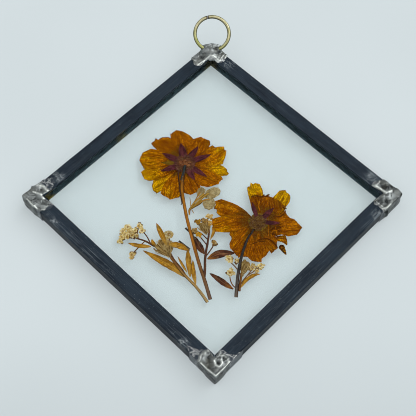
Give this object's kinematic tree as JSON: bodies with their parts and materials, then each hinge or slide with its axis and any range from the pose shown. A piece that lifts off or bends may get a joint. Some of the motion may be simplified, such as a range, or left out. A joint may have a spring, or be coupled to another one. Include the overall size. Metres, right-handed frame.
{
  "type": "pressed flower frame",
  "caption": "Square glass keepsake frame hung by one corner: dried flowers pressed between two panes in dark metal came with soldered corners and a brass hanging ring.",
  "frame": {"origin": "middle of the bounding box, on the surface that the frame lies on", "axes": "+Z out of the frame's front face, +Y towards the corner with the hanging ring"},
  "size_m": [0.1628, 0.172, 0.0163],
  "materials": {
    "came_metal": "satin black patina",
    "solder": "bright lumpy tin-lead solder, darker in its hollows",
    "clear_glass": "clear",
    "brass_ring": "aged pale brass",
    "amber_petal": "dried petal, veined",
    "pale_petal": "papery, half see-through",
    "dried_calyx": "dried purple-brown bracts",
    "brown_stem": "dried stem, ribbed",
    "slate_stem": "dried dark stem, ribbed",
    "golden_leaf": "dried leaf",
    "brown_leaf": "dried leaf",
    "dried_florets": "dried florets, twigs and fluff"
  },
  "bodies": {
    "root": {"back_glass": "clear_glass", "came_lower_left": "came_metal", "came_lower_right": "came_metal", "came_upper_left": "came_metal", "came_upper_right": "came_metal", "front_glass": "clear_glass", "hanging_ring": "brass_ring", "left_bloom_calyx": "dried_calyx", "left_bloom_petal_01": "amber_petal", "left_bloom_petal_02": "amber_petal", "left_bloom_petal_03": "amber_petal", "left_bloom_petal_04": "amber_petal", "left_bloom_petal_05": "amber_petal", "left_bloom_petal_06": "amber_petal", "left_bloom_petal_07": "amber_petal", "left_bloom_petal_08": "amber_petal", "left_bloom_petal_09": "amber_petal", "left_bloom_petal_10": "amber_petal", "left_bloom_petal_11": "amber_petal", "left_bloom_petal_12": "amber_petal", "left_bloom_stem": "brown_stem", "left_sprig_leaf_beside_stem": "golden_leaf", "left_sprig_leaf_inner": "golden_leaf", "left_sprig_leaf_long": "golden_leaf", "left_sprig_leaf_lower": "golden_leaf", "left_sprig_leaf_narrow": "golden_leaf", "left_sprig_leaf_outer": "golden_leaf", "left_sprig_leaf_small": "golden_leaf", "left_sprig_leaf_upright": "golden_leaf", "left_sprig_stem": "dried_florets", "middle_sprig_leaf_golden": "golden_leaf", "middle_sprig_leaf_left": "brown_leaf", "middle_sprig_leaf_right": "brown_leaf", "middle_sprig_stem": "dried_florets", "pale_bloom_petal_01": "pale_petal", "pale_bloom_petal_02": "pale_petal", "pale_bloom_petal_03": "pale_petal", "pale_bloom_stalk": "golden_leaf", "right_bloom_calyx": "dried_calyx", "right_bloom_curled_petal": "amber_petal", "right_bloom_curled_tip": "amber_petal", "right_bloom_petal_01": "amber_petal", "right_bloom_petal_02": "amber_petal", "right_bloom_petal_03": "amber_petal", "right_bloom_petal_04": "amber_petal", "right_bloom_petal_05": "amber_petal", "right_bloom_petal_06": "amber_petal", "right_bloom_petal_07": "amber_petal", "right_bloom_petal_08": "amber_petal", "right_bloom_petal_09": "amber_petal", "right_bloom_stem": "slate_stem", "right_sprig_leaf_left": "brown_leaf", "right_sprig_leaf_right": "golden_leaf", "right_sprig_stem": "dried_florets", "short_stalk_lower": "slate_stem", "short_stalk_upper": "slate_stem", "solder_bottom": "solder", "solder_left": "solder", "solder_right": "solder", "solder_top": "solder"}
  },
  "joints": []
}
